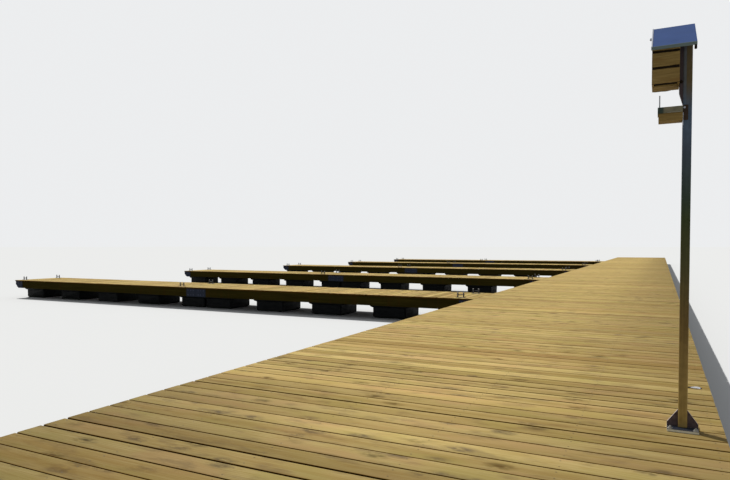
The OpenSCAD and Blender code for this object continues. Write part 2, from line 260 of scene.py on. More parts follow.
def finger_place(k, m):
    """From the frame of module m of finger k, along +X to the tip, to the row's."""
    lo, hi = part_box("finger_deck_%d" % (k + 1))
    start = Vector((hi.x + JOINT_GAP / 2 - m * MODULE_L, (lo.y + hi.y) / 2, lo.z))
    return Matrix.Translation(start) @ Matrix.Rotation(math.radians(180), 4, "Z")


def deck_boards(material):
    """Every deck as its separate boards."""
    rng = random.Random(7)
    for k in range(MODULE_N):
        batch = Batch()
        add_boards(batch, module_place(k), WALKWAY_W, rng)
        name = "walkway_boards_%d" % (k + 1)
        batch.build(name, material, ["walkway_deck_%d" % (k + 1)])
    for k in range(FINGER_N):
        batch = Batch()
        for m in range(FINGER_MODULES):
            add_boards(batch, finger_place(k, m), FINGER_W, rng)
        name = "finger_boards_%d" % (k + 1)
        batch.build(name, material, ["finger_deck_%d" % (k + 1)])


# Screws in the deck, over every beam and joist

SCREW_R = 0.0023
SCREW_EDGE = 0.018
SCREW_RISE = 0.0002
SCREW_STRAY_X, SCREW_STRAY_Y = 0.002, 0.003


def screw_lines(width, joists):
    """Places across a module of the beams and joists that the boards are screwed to."""
    clear = width - 2 * DECK_OVERHANG - 2 * BEAM_T
    bay = (clear - joists * JOIST_W) / (joists + 1)
    side = clear / 2 + BEAM_T / 2
    inner = [-clear / 2 + (j + 1) * bay + (j + 0.5) * JOIST_W for j in range(joists)]
    return [-side] + inner + [side]


def add_screws(batch, place, lines, rng):
    """Two screws in every board of a module, over each line."""
    head = turned_profile([(SCREW_R, 0), (SCREW_R * 0.8, SCREW_RISE)], HEX_SIDES)
    for i in range(BOARDS_PER_MODULE):
        for y in lines:
            for side in (-1, 1):
                x = (i + 0.5) * BOARD_PITCH + side * (BOARD_PITCH / 2 - SCREW_EDGE)
                stray_x = rng.uniform(-SCREW_STRAY_X, SCREW_STRAY_X)
                stray_y = rng.uniform(-SCREW_STRAY_Y, SCREW_STRAY_Y)
                spot = Matrix.Translation((x + stray_x, y + stray_y, DECK_T))
                batch.add(turned(head[0], place @ spot), head[1])


def deck_screws(material):
    """The screws of all walkway modules and of all fingers."""
    rng = random.Random(11)
    walkway = Batch()
    lines = screw_lines(WALKWAY_W, WALKWAY_JOISTS)
    for k in range(MODULE_N):
        add_screws(walkway, module_place(k), lines, rng)
    walkway.build("walkway_screws", material)
    lines = screw_lines(FINGER_W, FINGER_JOISTS)
    fingers = Batch()
    for k in range(FINGER_N):
        for m in range(FINGER_MODULES):
            add_screws(fingers, finger_place(k, m), lines, rng)
    fingers.build("finger_screws", material)


# Fixings

COACH_SCREW = {"radius": 0.0062, "height": 0.0035, "washer": 0.0085}
COUPLING_BOLT = {"radius": 0.0075, "height": 0.005, "washer": 0.0105}
FOOT_SCREW = {"radius": 0.0032, "height": 0.0022}
BASE_BOLT = {"radius": 0.0046, "height": 0.0034, "washer": 0.0066, "shank": 0.003}
ROOF_BOLT = {"radius": 0.0036, "height": 0.0035, "washer": 0.0042}
MOUNT_BOLT = {"radius": 0.0044, "height": 0.0036}
STRAP_BOLT = {"radius": 0.0030, "height": 0.0024}

PLATE_SCREW_X = (0.038, 0.075, 0.118)
PLATE_SCREW_RISE = 0.026


def module_corners(place):
    """For each corner of a module: the matrix of its end and side, with +X inwards and +Y outwards."""
    for end in (0, 1):
        for side in (-1, 1):
            flip = Matrix.Diagonal((1 - 2 * end, side, 1, 1))
            yield place @ Matrix.Translation((end * MODULE_L, 0, 0)) @ flip


def plate_screws(material):
    """Coach screws in the side of every corner plate."""
    spots = [(x, rise) for x in PLATE_SCREW_X for rise in (-PLATE_SCREW_RISE, PLATE_SCREW_RISE)]
    walkway = [module_place(k) for k in range(MODULE_N)]
    fingers = [finger_place(k, m) for k in range(FINGER_N) for m in range(FINGER_MODULES)]
    groups = (("walkway_plate_screws", walkway, WALKWAY_W), ("finger_plate_screws", fingers, FINGER_W))
    for name, places, width in groups:
        batch = Batch()
        plate_face = width / 2 - DECK_OVERHANG + PLATE_T
        for place in places:
            for corner in module_corners(place):
                for x, rise in spots:
                    spot = (x, plate_face, BEAM_MIDDLE + rise)
                    batch.place(hex_bolt(**COACH_SCREW), corner @ facing(spot, (0, 1, 0)))
        batch.build(name, material)


def tip_bolts(material):
    """The free coupling bolts in the end plates at every finger's tip."""
    batch = Batch()
    side = FINGER_W / 2 - DECK_OVERHANG - BOLT_SIDE
    for k in range(FINGER_N):
        place = finger_place(k, FINGER_MODULES - 1)
        for y in (-side, side):
            spot = (MODULE_L - JOINT_GAP / 2, y, BEAM_MIDDLE + BOLT_RISE / 2)
            batch.place(hex_bolt(**COUPLING_BOLT), place @ facing(spot, (1, 0, 0)))
    batch.build("finger_tip_bolts", material)


# The bitts' places from the finger's root, its middle joint, its tip and its sides
BITT_ROOT, BITT_MID, BITT_TIP, BITT_EDGE = 0.158, 0.300, 0.080, 0.100
BITT_FOOT_T = 0.003
BITT_SCREW_X, BITT_SCREW_Y = 0.039, 0.012


def bitt_screws(material):
    """Four screws in the foot of every bitt."""
    batch = Batch()
    side = FINGER_W / 2 - BITT_EDGE
    for k in range(FINGER_N):
        for m, x in ((0, BITT_ROOT), (1, BITT_MID), (1, MODULE_L - BITT_TIP)):
            for y in (-side, side):
                for dx in (-BITT_SCREW_X, BITT_SCREW_X):
                    for dy in (-BITT_SCREW_Y, BITT_SCREW_Y):
                        spot = Matrix.Translation((x + dx, y + dy, DECK_T + BITT_FOOT_T))
                        batch.place(hex_bolt(**FOOT_SCREW), finger_place(k, m) @ spot)
    batch.build("bitt_screws", material)


# Post, box and roof

BASE_T = 0.007
BASE_BOLT_EDGE = 0.0075
# (radius, place) along the side pin, as shares of its radius and length
PIN_PROFILE = ((0.40, 0.0), (0.46, 0.12), (0.70, 0.30), (0.92, 0.48), (1.0, 0.62), (0.90, 0.76),
               (0.62, 0.88), (0.36, 0.95), (0.30, 1.0))

ROOF_T, ROOF_LIP = 0.002, 0.006
ROOF_BOLT_DROP = 0.004
# The rim's section in (x, z) from the roof's left edge, and the (radius, z) profile of its dark pin
RIM_SECTION = ((-0.0003, -0.0030), (0.0034, -0.0004), (0.0034, 0.0008), (0.0024, 0.0016),
               (0.0007, 0.0016), (-0.0003, 0.0008))
ROOF_PIN = ((0.0022, 0), (0.0032, 0.0010), (0.0032, 0.0115))
ROOF_PIN_IN_X, ROOF_PIN_IN_Y, ROOF_PIN_DROP = 0.0035, 0.0030, 0.010

# The boarded box: pitch of its courses, thickness of its boards, gap between them, slot under it
BOX_BOARD, BOX_SKIN, BOX_GAP = 0.0424, 0.005, 0.0062
BOX_VENT = 0.030
# How far boards stay inside the imported box, the lowest ones above its foot, the painted-shade core
# reaches into them and the front's dark strips of painted shade stand back, and how much sawn edges
# wander
BOX_PLAY = 0.0006
BOX_FOOT = 0.0012
CORE_REACH = 0.0004
STRIP_BACK = 0.0015
RAGGED = 0.0009

MOUNT_BOLT_RISE = 0.008
ROD_H = 0.037
# Spans from the left and front of the post and the top of the lower lid: strap, bolt, and a bright strip
# on the post's edge as painted highlight
STRAP_X, STRAP_Y, STRAP_Z = (0.0006, 0.0130), (-0.002, 0.0), (-0.036, 0.004)
STRAP_BOLT_X, STRAP_BOLT_Z = 0.004, -0.003
SHINE_X, SHINE_Y, SHINE_Z = (-0.0004, 0.0018), (-0.0026, -0.0002), (-0.050, -0.016)
# Spans from the lower corner of the lid: its paler hem
HEM_X, HEM_Y, HEM_Z = (0.023, 0.055), (-0.0008, 0.0004), (0.0002, 0.0022)


def roof_edge():
    """The roof's low front and high back edge on its top face, as (y, z), and its slope."""
    lo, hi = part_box("sheet_roof")
    front, back = (lo.y, lo.z + ROOF_LIP + ROOF_T), (hi.y, hi.z)
    return front, back, (back[1] - front[1]) / (back[0] - front[0])


def base_bolts(material):
    """Holding-down bolts at the corners of the base plate."""
    lo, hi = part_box("post_base")
    batch = Batch()
    for x in (lo.x + BASE_BOLT_EDGE, hi.x - BASE_BOLT_EDGE):
        for y in (lo.y + BASE_BOLT_EDGE, hi.y - BASE_BOLT_EDGE):
            batch.place(hex_bolt(**BASE_BOLT), Matrix.Translation((x, y, lo.z + BASE_T)))
    batch.build("base_bolts", material)


def side_pin(material):
    """The spindle-shaped pin on the side of the post: slim at its root, thick past its middle."""
    lo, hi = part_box("post_side_pin")
    length, radius = hi.x - lo.x, (hi.z - lo.z) / 2
    profile = [(r * radius, u * length) for r, u in PIN_PROFILE]
    points, faces = turned_profile(profile, ROUND_SIDES)
    batch = Batch()
    spot = (lo.x, (lo.y + hi.y) / 2, (lo.z + hi.z) / 2)
    batch.add(turned(points, facing(spot, (1, 0, 0))), faces, along=points[:, 2] / length)
    batch.build("side_pin", material, ["post_side_pin"], sharp=60)


def sawn_board(lo, hi, rng, rise=0.0):
    """A sawn board along X with wandering long edges; its top edge climbs backwards by rise."""
    spans, broken = 12, 0.0007
    a, b, c, d = (rng.uniform(0, 2 * math.pi) for _ in range(4))
    y0, y1 = lo[1], hi[1]
    rings = []
    for i in range(spans + 1):
        u = i / spans
        x = lo[0] + (hi[0] - lo[0]) * u
        low = lo[2] + RAGGED * (math.sin(a + 5.5 * u) + 0.5 * math.sin(b + 14 * u))
        high = hi[2] + 0.4 * RAGGED * (math.sin(c + 5 * u) - 1.0 + 0.5 * math.sin(d + 12 * u))
        rings.append([(x, y0 + broken, low), (x, y1 - broken, low), (x, y1, low + broken),
                      (x, y1, high + rise - broken), (x, y1 - broken, high + rise),
                      (x, y0 + broken, high), (x, y0, high - broken), (x, y0, low + broken)])
    return lofted(rings)


def box_walls(lo, hi):
    """The box's front and back wall: the place in Y, the height and the number of courses of each."""
    slope = roof_edge()[2]
    front_h = hi.z - lo.z - slope * (hi.y - lo.y)
    back_y = hi.y - BOX_SKIN
    for y, height in ((lo.y, front_h), (back_y, front_h + slope * (back_y - lo.y))):
        yield y, height, math.ceil((height - BOX_GAP) / BOX_BOARD)


def box_side(lo, hi, inset, play):
    """Outline in (y, z) across the box, its front and back drawn in by inset and the rest by play."""
    slope = roof_edge()[2]
    front_top = hi.z - slope * (hi.y - lo.y)
    y0, y1 = lo.y + inset, hi.y - inset
    top0, top1 = (front_top + slope * (y - lo.y) - play for y in (y0, y1))
    return [(y0, lo.z + play), (y1, lo.z + play), (y1, top1), (y0, top0)]


def box_boards(wood):
    """The box as separate boards: front and back in courses, two sides, and two under it."""
    lo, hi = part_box("boarded_box")
    slope = roof_edge()[2]
    rng = random.Random(23)
    boards = Batch()

    def add(shape, tone=0.0, edged=True):
        # The edge attribute is the height over a board's low edge, which carries its painted shade
        height = (shape[0][:, 2] - shape[0][:, 2].min()) / BOX_BOARD if edged else 1.0
        boards.add(*shape, tone=tone + rng.uniform(-1, 1), edge=height)

    for y, height, courses in box_walls(lo, hi):
        for i in range(courses):
            highest = i == courses - 1
            top = height - BOX_PLAY if highest else (i + 1) * BOX_BOARD - BOX_GAP / 2
            low = i * BOX_BOARD + (BOX_GAP / 2 if i else BOX_FOOT)
            rise = slope * BOX_SKIN if highest else 0.0
            add(sawn_board((lo.x, y, lo.z + low), (hi.x, y + BOX_SKIN, lo.z + top), rng, rise))
    outline = box_side(lo, hi, BOX_SKIN, BOX_PLAY)
    for x in (lo.x, hi.x - BOX_SKIN):
        add(slab(outline, x, x + BOX_SKIN, bevel=0.0005), edged=False)
    first = lo.y + BOX_SKIN + BOX_VENT
    half = (hi.y - BOX_SKIN - first) / 2
    for y in (first, first + half):
        near = (lo.x + BOX_SKIN, y + BOX_PLAY, lo.z + BOX_PLAY)
        far = (hi.x - BOX_SKIN, y + half - BOX_PLAY, lo.z + BOX_SKIN)
        # The boards under the box are made lighter, as painted light from the deck below
        add(block(near, far, bevel=0.0006), tone=1.5, edged=False)
    boards.build("box_boards", wood, ["boarded_box"])


def box_shade_core(dark):
    """The box's inside as a dark solid of painted shade, with a dark strip of painted shade behind every
    gap between its boards.
    """
    lo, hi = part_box("boarded_box")
    core = Batch()
    inset = BOX_SKIN - CORE_REACH
    core.add(*slab(box_side(lo, hi, inset, inset), lo.x + inset, hi.x - inset, bevel=0.0004))
    for (y, _, courses), inwards in zip(box_walls(lo, hi), (STRIP_BACK, 0.0)):
        for i in range(1, courses):
            z = lo.z + i * BOX_BOARD
            near = (lo.x + BOX_PLAY, y + inwards, z - BOX_GAP)
            far = (hi.x - BOX_PLAY, y + inwards + BOX_SKIN - STRIP_BACK, z + BOX_GAP)
            core.add(*block(near, far, bevel=0.0003))
    core.build("box_shade_core", dark)


def roof_trim(bright, dark):
    """The roof's raised left rim, light in colour as a painted highlight, the bolt in its left side, the
    dark pin under its right corner.
    """
    lo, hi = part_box("sheet_roof")
    front, back, _ = roof_edge()
    rings = [[(lo.x + x, y, z + up) for x, up in RIM_SECTION] for y, z in (back, front)]
    rim = Batch()
    rim.add(*lofted(rings))
    middle = (lo.x, (lo.y + hi.y) / 2, (front[1] + back[1]) / 2 - ROOF_BOLT_DROP)
    rim.place(hex_bolt(**ROOF_BOLT), facing(middle, (-1, 0, 0)))
    rim.build("roof_rim_highlight", bright)
    pin = Batch()
    spot = (hi.x - ROOF_PIN_IN_X, lo.y + ROOF_PIN_IN_Y, lo.z - ROOF_PIN_DROP)
    pin.place([turned_profile(ROOF_PIN, SMALL_SIDES)], Matrix.Translation(spot))
    pin.build("roof_pin", dark)


def head_fittings(bright, dull, brown, dark):
    """Bolt through the mounting plate, strap on the post by the lower box with a painted highlight down
    the post's edge, paler hem of its lid.
    """
    forwards = (0, -1, 0)
    plate_lo, plate_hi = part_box("box_mounting_plate")
    box_lo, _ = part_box("boarded_box")
    black = Batch()
    spot = ((plate_lo.x + plate_hi.x) / 2, plate_lo.y, box_lo.z + MOUNT_BOLT_RISE)
    black.place(hex_bolt(**MOUNT_BOLT), facing(spot, forwards))
    black.build("mount_bolt", dark)

    post_lo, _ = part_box("post")
    lid_lo, lid_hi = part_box("lower_box_lid")
    corner = (post_lo.x, post_lo.y, lid_hi.z - ROD_H)
    band = Batch()
    band.add(*spanned(corner, (STRAP_X, STRAP_Y, STRAP_Z), bevel=0.0005))
    band.build("post_strap", brown)
    shine = Batch()
    spot = Vector(corner) + Vector((STRAP_BOLT_X, STRAP_Y[0], STRAP_BOLT_Z))
    shine.place(hex_bolt(**STRAP_BOLT), facing(spot, forwards))
    # Painted highlight: a bright strip down the post's front edge
    shine.add(*spanned(corner, (SHINE_X, SHINE_Y, SHINE_Z), bevel=0.0004))
    shine.build("strap_bolt_and_edge_highlight", bright)
    hem = Batch()
    hem.add(*spanned(lid_lo, (HEM_X, HEM_Y, HEM_Z), bevel=0.0003))
    hem.build("lid_hem", dull)


# Materials

class Shader:
    """A material under construction: a Principled surface and short ways to add nodes to it."""

    def __init__(self, name, roughness=0.5, metallic=0.0, specular=0.5):
        self.material = bpy.data.materials.new(name)
        self.material.use_nodes = True
        self.tree = self.material.node_tree
        self.tree.nodes.clear()
        self.surface = self.tree.nodes.new("ShaderNodeBsdfPrincipled")
        self.surface.inputs["Roughness"].default_value = roughness
        self.surface.inputs["Metallic"].default_value = metallic
        self.surface.inputs["Specular IOR Level"].default_value = specular
        out = self.tree.nodes.new("ShaderNodeOutputMaterial")
        self.tree.links.new(self.surface.outputs[0], out.inputs[0])

    def wire(self, value, socket):
        if isinstance(value, bpy.types.NodeSocket):
            self.tree.links.new(value, socket)
        else:
            socket.default_value = value

    def coordinates(self):
        return self.tree.nodes.new("ShaderNodeTexCoord").outputs["Object"]

    def normal(self):
        return self.tree.nodes.new("ShaderNodeNewGeometry").outputs["Normal"]

    def attribute(self, name, output="Vector"):
        node = self.tree.nodes.new("ShaderNodeAttribute")
        node.attribute_name = name
        return node.outputs[output]

    def scaled(self, vector, scale):
        node = self.tree.nodes.new("ShaderNodeVectorMath")
        node.operation = "MULTIPLY"
        self.wire(vector, node.inputs[0])
        self.wire(scale, node.inputs[1])
        return node.outputs[0]

    def parts(self, vector):
        node = self.tree.nodes.new("ShaderNodeSeparateXYZ")
        self.wire(vector, node.inputs[0])
        return node.outputs

    def noise(self, vector, scale=1.0, detail=3.0, roughness=0.5, distortion=0.0):
        node = self.tree.nodes.new("ShaderNodeTexNoise")
        self.wire(vector, node.inputs["Vector"])
        node.inputs["Scale"].default_value = scale
        node.inputs["Detail"].default_value = detail
        node.inputs["Roughness"].default_value = roughness
        node.inputs["Distortion"].default_value = distortion
        return node.outputs[0]

    def cells(self, vector):
        """Distance to the nearest cell point, and that cell's own random colour."""
        node = self.tree.nodes.new("ShaderNodeTexVoronoi")
        self.wire(vector, node.inputs["Vector"])
        node.inputs["Scale"].default_value = 1.0
        return node.outputs["Distance"], node.outputs["Color"]

    def math(self, operation, a, b=0.0):
        node = self.tree.nodes.new("ShaderNodeMath")
        node.operation = operation
        self.wire(a, node.inputs[0])
        self.wire(b, node.inputs[1])
        return node.outputs[0]

    def span(self, value, lo, hi, to_lo=0.0, to_hi=1.0, kind="SMOOTHSTEP"):
        """The value taken from the range lo..hi to another, smoothly unless another kind is asked."""
        node = self.tree.nodes.new("ShaderNodeMapRange")
        node.interpolation_type = kind
        for socket, number in zip(node.inputs[1:5], (lo, hi, to_lo, to_hi)):
            socket.default_value = number
        self.wire(value, node.inputs[0])
        return node.outputs[0]

    def ramp(self, value, *stops):
        node = self.tree.nodes.new("ShaderNodeValToRGB")
        elements = node.color_ramp.elements
        while len(elements) < len(stops):
            elements.new(0.5)
        for element, (place, colour) in zip(elements, stops):
            element.position = place
            element.color = (*colour, 1)
        self.wire(value, node.inputs[0])
        return node.outputs[0]

    def mix(self, share, a, b, mode="MIX"):
        node = self.tree.nodes.new("ShaderNodeMix")
        node.data_type = "RGBA"
        node.blend_type = mode
        self.wire(share, node.inputs[0])
        for value, socket in ((a, node.inputs[6]), (b, node.inputs[7])):
            self.wire((*value, 1) if isinstance(value, tuple) else value, socket)
        return node.outputs[2]

    def grey(self, value):
        """A colour with the same value in all three channels."""
        node = self.tree.nodes.new("ShaderNodeCombineColor")
        for socket in node.inputs[:3]:
            self.wire(value, socket)
        return node.outputs[0]

    def bump(self, height, distance):
        """Relief of a given depth, in metres, from a height field."""
        node = self.tree.nodes.new("ShaderNodeBump")
        node.inputs["Distance"].default_value = distance
        self.wire(height, node.inputs["Height"])
        self.wire(node.outputs[0], self.surface.inputs["Normal"])

    def colour(self, value):
        self.wire(value, self.surface.inputs["Base Color"])

    def rough(self, value):
        self.wire(value, self.surface.inputs["Roughness"])


# Painted shade: the deck's colour is darker at its shore end and along its right-hand side: the first
# fades away along Y and the second sets in along X, between these places
SHORE_END_SHADE = (-12.1, -10.6)
SHADY_SIDE = (3.35, 4.3)


def deck_wood():
    """Honey-yellow softwood: grain along each board, patches of tint, knots in soft grey halos, with
    painted shade down the boards' sides, at the shore end and along the right-hand side.
    """
    s = Shader("deck_wood", specular=0.06)
    grain = s.attribute("grain")
    tone = s.attribute("tone", "Fac")
    hue = s.attribute("hue", "Fac")

    fine = s.noise(s.scaled(grain, (7.0, 300.0, 60.0)), detail=4, roughness=0.6)
    figure = s.noise(s.scaled(grain, (1.6, 26.0, 26.0)), detail=2, distortion=0.5)
    patch = s.noise(s.scaled(grain, (8.0, 22.0, 9.0)), detail=4, roughness=0.6)
    tint = s.noise(s.scaled(grain, (3.6, 8.0, 3.0)), detail=2)
    knot_d, knot_id = s.cells(s.scaled(grain, (7.5, 15.0, 0.0)))
    id_r, id_g, _ = s.parts(knot_id)
    chosen = s.span(id_r, 0.43, 0.49)
    cloudy = s.span(s.noise(s.scaled(grain, (38.0, 70.0, 20.0)), detail=3), 0.28, 0.62)
    halo = s.math("MULTIPLY", s.math("MULTIPLY", s.span(knot_d, 0.40, 0.10), chosen), cloudy)
    dark_knot = s.math("MULTIPLY", chosen, s.span(id_g, 0.45, 0.55))
    core = s.math("MULTIPLY", s.span(knot_d, 0.13, 0.06), dark_knot)
    rings = s.math("SINE", s.math("MULTIPLY", s.math("ADD", figure, s.math("MULTIPLY", halo, 0.2)), 55.0))
    late = s.span(rings, 0.1, 1.0)

    wood = s.ramp(fine, (0.25, (0.430, 0.305, 0.106)), (0.5, (0.552, 0.412, 0.160)),
                  (0.8, (0.65, 0.512, 0.226)))
    wood = s.mix(s.math("MULTIPLY", late, 0.28), wood, (0.41, 0.260, 0.068))
    wood = s.mix(s.span(tint, 0.50, 0.68, 0.0, 0.50), wood, (0.455, 0.372, 0.112))
    wood = s.mix(s.span(tint, 0.48, 0.32, 0.0, 0.50), wood, (0.55, 0.345, 0.155))
    wood = s.mix(s.span(patch, 0.50, 0.70, 0.0, 0.60), wood, (0.29, 0.205, 0.095))
    halo_tint = s.mix(s.span(id_g, 0.35, 0.65), (0.150, 0.112, 0.070), (0.110, 0.088, 0.030))
    wood = s.mix(s.math("MULTIPLY", halo, 0.80), wood, halo_tint)
    wood = s.mix(s.math("MULTIPLY", core, 0.8), wood, (0.085, 0.050, 0.020))

    reddish = s.math("MULTIPLY", s.span(hue, 0.75, 0.95), 0.22)
    wood = s.mix(reddish, wood, (0.45, 0.255, 0.080))
    where = s.coordinates()
    drift = s.noise(where, scale=0.55, detail=2)
    x, y, _ = s.parts(where)
    along = s.math("ADD", y, s.math("MULTIPLY", s.math("SUBTRACT", drift, 0.5), 2.5))
    # Painted shade, darker towards the shore end and towards the right-hand side
    mottle_and_painted_light = s.math("MULTIPLY", s.span(along, *SHORE_END_SHADE, 0.50, 1.12), s.span(x, *SHADY_SIDE, 1.0, 0.60))
    light = s.math("MULTIPLY", s.span(tone, -2.2, 2.2, 0.84, 1.12), s.span(drift, 0.2, 0.8, 0.92, 1.06))
    light = s.math("MULTIPLY", light, mottle_and_painted_light)
    wood = s.mix(1.0, wood, s.grey(light), "MULTIPLY")
    height = s.attribute("height", "Fac")
    # Painted shade along the boards' rounded edges and deeper down their sides, in the gaps between them
    wood = s.mix(s.span(height, 0.995, 0.93), wood, (0.21, 0.115, 0.020))
    s.colour(s.mix(s.span(height, 0.94, 0.86), wood, (0.045, 0.019, 0.001)))
    s.rough(s.span(fine, 0.2, 0.8, 0.92, 0.78))
    s.bump(s.math("ADD", fine, s.math("MULTIPLY", late, 0.4)), 0.0004)
    return s.material


def frame_wood(name, along):
    """Pressure-treated structural timber, dark olive brown, with its grain along one axis."""
    s = Shader(name, roughness=0.9, specular=0.02)
    stretch = {"X": (3.0, 150.0, 150.0), "Y": (150.0, 3.0, 150.0)}[along]
    broad = {"X": (1.1, 30.0, 30.0), "Y": (30.0, 1.1, 30.0)}[along]
    drips = {"X": (26.0, 26.0, 1.5), "Y": (26.0, 26.0, 1.5)}[along]
    where = s.coordinates()
    fine = s.noise(s.scaled(where, stretch), detail=4, roughness=0.62)
    figure = s.noise(s.scaled(where, broad), detail=3, distortion=0.4)
    stain = s.noise(s.scaled(where, drips), detail=3)
    wood = s.ramp(fine, (0.25, (0.012, 0.009, 0.0012)), (0.55, (0.026, 0.0195, 0.003)),
                  (0.85, (0.052, 0.040, 0.008)))
    wood = s.mix(s.span(figure, 0.45, 0.7, 0.0, 0.45), wood, (0.014, 0.013, 0.0015))
    wood = s.mix(s.span(stain, 0.52, 0.75, 0.0, 0.5), wood, (0.034, 0.016, 0.003))
    s.colour(wood)
    s.bump(fine, 0.0006)
    return s.material


# Height of the floats' parting line over the waterline
FLOAT_SEAM_Z = 0.062


def float_plastic():
    """Black moulded polyethylene, a little scuffed, with a parting line and a dull band at the water."""
    s = Shader("float_plastic", specular=0.09)
    where = s.coordinates()
    z = s.parts(where)[2]
    grime = s.noise(s.scaled(where, (14.0, 14.0, 30.0)), detail=5, roughness=0.65)
    scuff = s.noise(s.scaled(where, (90.0, 90.0, 12.0)), detail=4, roughness=0.7)
    base = s.ramp(scuff, (0.35, (0.003, 0.004, 0.004)), (0.62, (0.006, 0.007, 0.008)),
                  (0.8, (0.014, 0.015, 0.016)))
    band = s.math("MULTIPLY", s.span(z, 0.030, 0.004), s.span(grime, 0.35, 0.65))
    s.colour(s.mix(s.math("MULTIPLY", band, 0.5), base, (0.022, 0.026, 0.016)))
    s.rough(s.span(grime, 0.3, 0.7, 0.5, 0.7))
    seam = s.span(s.math("ABSOLUTE", s.math("SUBTRACT", z, FLOAT_SEAM_Z)), 0.0022, 0.0008)
    s.bump(s.math("ADD", s.math("MULTIPLY", scuff, 0.25), seam), 0.0012)
    return s.material


def galvanised(name, tint, roughness=0.46):
    """Galvanised sheet: blue-grey spangle, whiter bloom, a few dull runs."""
    s = Shader(name, metallic=0.25, specular=0.12)
    where = s.coordinates()
    spangle, flake = s.cells(s.scaled(where, (160.0, 160.0, 160.0)))
    bloom = s.noise(where, scale=22.0, detail=5, roughness=0.6)
    runs = s.noise(s.scaled(where, (70.0, 70.0, 6.0)), detail=3)
    dark = tuple(0.72 * c for c in tint)
    pale = tuple(1.4 * c + 0.01 for c in tint)
    base = s.ramp(s.parts(flake)[0], (0.0, dark), (0.5, tint), (1.0, tuple(1.15 * c for c in tint)))
    base = s.mix(s.span(bloom, 0.45, 0.75, 0.0, 0.4), base, pale)
    base = s.mix(s.span(runs, 0.55, 0.8, 0.0, 0.35), base, dark)
    s.colour(base)
    s.rough(s.span(bloom, 0.3, 0.7, roughness - 0.08, roughness + 0.14))
    s.bump(s.math("ADD", bloom, s.math("MULTIPLY", spangle, 0.3)), 0.0003)
    return s.material


# Height over the deck from which the bitts are lighter, a painted highlight on their tops, and the depth
# of that edge
BITT_HIGHLIGHT_RISE = 0.047
HIGHLIGHT_BLEND = 0.006


def dark_steel(name, low, high, split):
    """Dark steel that is lighter above a height, as a painted highlight."""
    s = Shader(name, metallic=0.25, roughness=0.45, specular=0.2)
    where = s.coordinates()
    mottle_and_painted_light = s.noise(where, scale=160.0, detail=4, roughness=0.6)
    waver = s.math("MULTIPLY", s.math("SUBTRACT", mottle_and_painted_light, 0.5), HIGHLIGHT_BLEND)
    z = s.math("ADD", s.parts(where)[2], waver)
    patina = s.ramp(mottle_and_painted_light, (0.3, tuple(0.7 * c for c in low)), (0.7, tuple(1.35 * c for c in low)))
    # Painted highlight: the high colour above the split height
    s.colour(s.mix(s.span(z, split - HIGHLIGHT_BLEND, split + HIGHLIGHT_BLEND), patina, high))
    s.rough(s.span(mottle_and_painted_light, 0.3, 0.7, 0.36, 0.56))
    s.bump(mottle_and_painted_light, 0.0002)
    return s.material


# Share of the post's width that lies left of the line between its two tones
POST_SPLIT = 0.36


def post_paint():
    """Steel of the post: brown low down as painted reflection of the deck, olive, then blue-grey, and
    two-toned beside the box.
    """
    s = Shader("post_paint", roughness=0.65, specular=0.06)
    lo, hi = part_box("post")
    where = s.coordinates()
    x, _, z = s.parts(where)
    streaks = s.noise(s.scaled(where, (240.0, 240.0, 5.0)), detail=4, roughness=0.6)
    mottle = s.noise(where, scale=60.0, detail=4)
    height = s.span(z, DECK_TOP, hi.z, kind="LINEAR")
    # Painted reflection: the brown low down stands for the deck's light on the post
    base = s.ramp(height, (0.06, (0.352, 0.248, 0.086)), (0.15, (0.264, 0.182, 0.064)),
                  (0.28, (0.150, 0.100, 0.035)), (0.43, (0.079, 0.077, 0.032)),
                  (0.54, (0.043, 0.056, 0.022)), (0.59, (0.041, 0.061, 0.042)),
                  (0.72, (0.058, 0.076, 0.102)), (0.77, (0.069, 0.100, 0.146)))
    split = lo.x + POST_SPLIT * (hi.x - lo.x)
    right_of_split = s.span(x, split - 0.0015, split + 0.0015)
    beside = s.mix(right_of_split, (0.090, 0.097, 0.102), (0.097, 0.073, 0.036))
    base = s.mix(s.span(height, 0.80, 0.90), base, beside)
    streaky = s.span(streaks, 0.3, 0.7, 0.90, 1.10)
    light = s.math("MULTIPLY", streaky, s.span(mottle, 0.3, 0.7, 0.90, 1.08))
    s.colour(s.mix(1.0, base, s.grey(light), "MULTIPLY"))
    s.rough(s.span(mottle, 0.3, 0.7, 0.58, 0.72))
    s.bump(mottle, 0.0003)
    return s.material


def box_wood(name, separate):
    """Stained boards, brown with an orange cast, grain along X; separate boards have painted shade along
    their low edges.
    """
    s = Shader(name, roughness=0.75, specular=0.1)
    where = s.coordinates()
    fine = s.noise(s.scaled(where, (14.0, 14.0, 420.0)), detail=4, roughness=0.6)
    figure = s.noise(s.scaled(where, (9.0, 9.0, 60.0)), detail=2, distortion=0.6)
    wood = s.ramp(fine, (0.25, (0.135, 0.088, 0.026)), (0.55, (0.215, 0.145, 0.048)),
                  (0.85, (0.300, 0.215, 0.085)))
    wood = s.mix(s.span(figure, 0.5, 0.75, 0.0, 0.5), wood, (0.165, 0.085, 0.022))
    if separate:
        light = s.span(s.attribute("tone", "Fac"), -1.0, 3.0, 0.90, 1.35, "LINEAR")
        wood = s.mix(1.0, wood, s.grey(light), "MULTIPLY")
        # Painted shade along each separate board's low edge
        wood = s.mix(s.span(s.attribute("edge", "Fac"), 0.030, 0.018), wood, (0.022, 0.012, 0.003))
    s.colour(wood)
    s.bump(fine, 0.0004)
    return s.material


